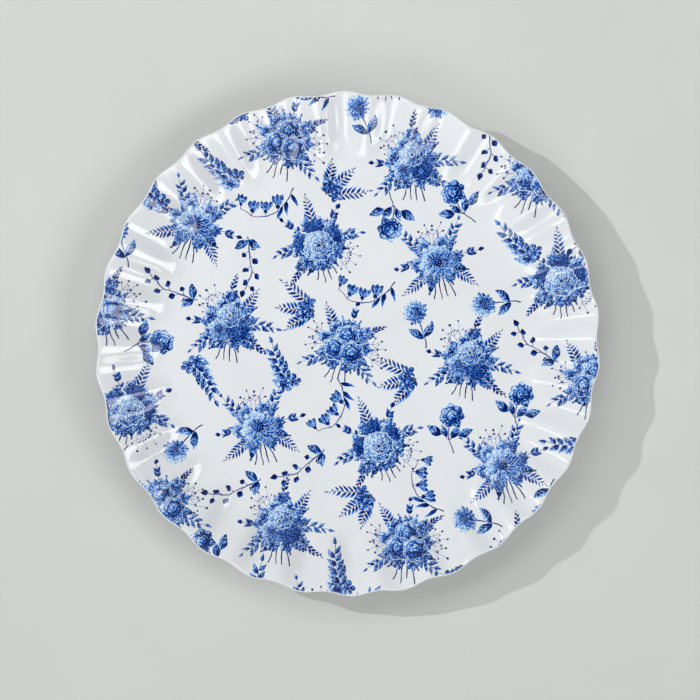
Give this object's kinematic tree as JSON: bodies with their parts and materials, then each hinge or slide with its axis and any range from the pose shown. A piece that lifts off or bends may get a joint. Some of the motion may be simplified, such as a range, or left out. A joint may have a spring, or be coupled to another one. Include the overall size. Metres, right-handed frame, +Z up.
{
  "type": "dinner plate",
  "caption": "Round china dinner plate with a flat well, a fluted flaring rim, a scalloped lip and a narrow foot ring, printed all over with blue flower sprays.",
  "frame": {"origin": "on the plate's axis, at the table surface that the foot ring stands on", "axes": "+Z up along the plate's axis, out of the eating side; +X and +Y level, with one scallop crest on +Y"},
  "size_m": [0.2686, 0.27, 0.024],
  "materials": {
    "glazed_china": "clear glossy glaze over white china",
    "unglazed_foot": "matt ground biscuit",
    "cobalt_print": "cobalt blue print under a glossy glaze"
  },
  "bodies": {
    "root": {"plate_body": "glazed_china", "foot_ring": "unglazed_foot"}
  },
  "joints": []
}
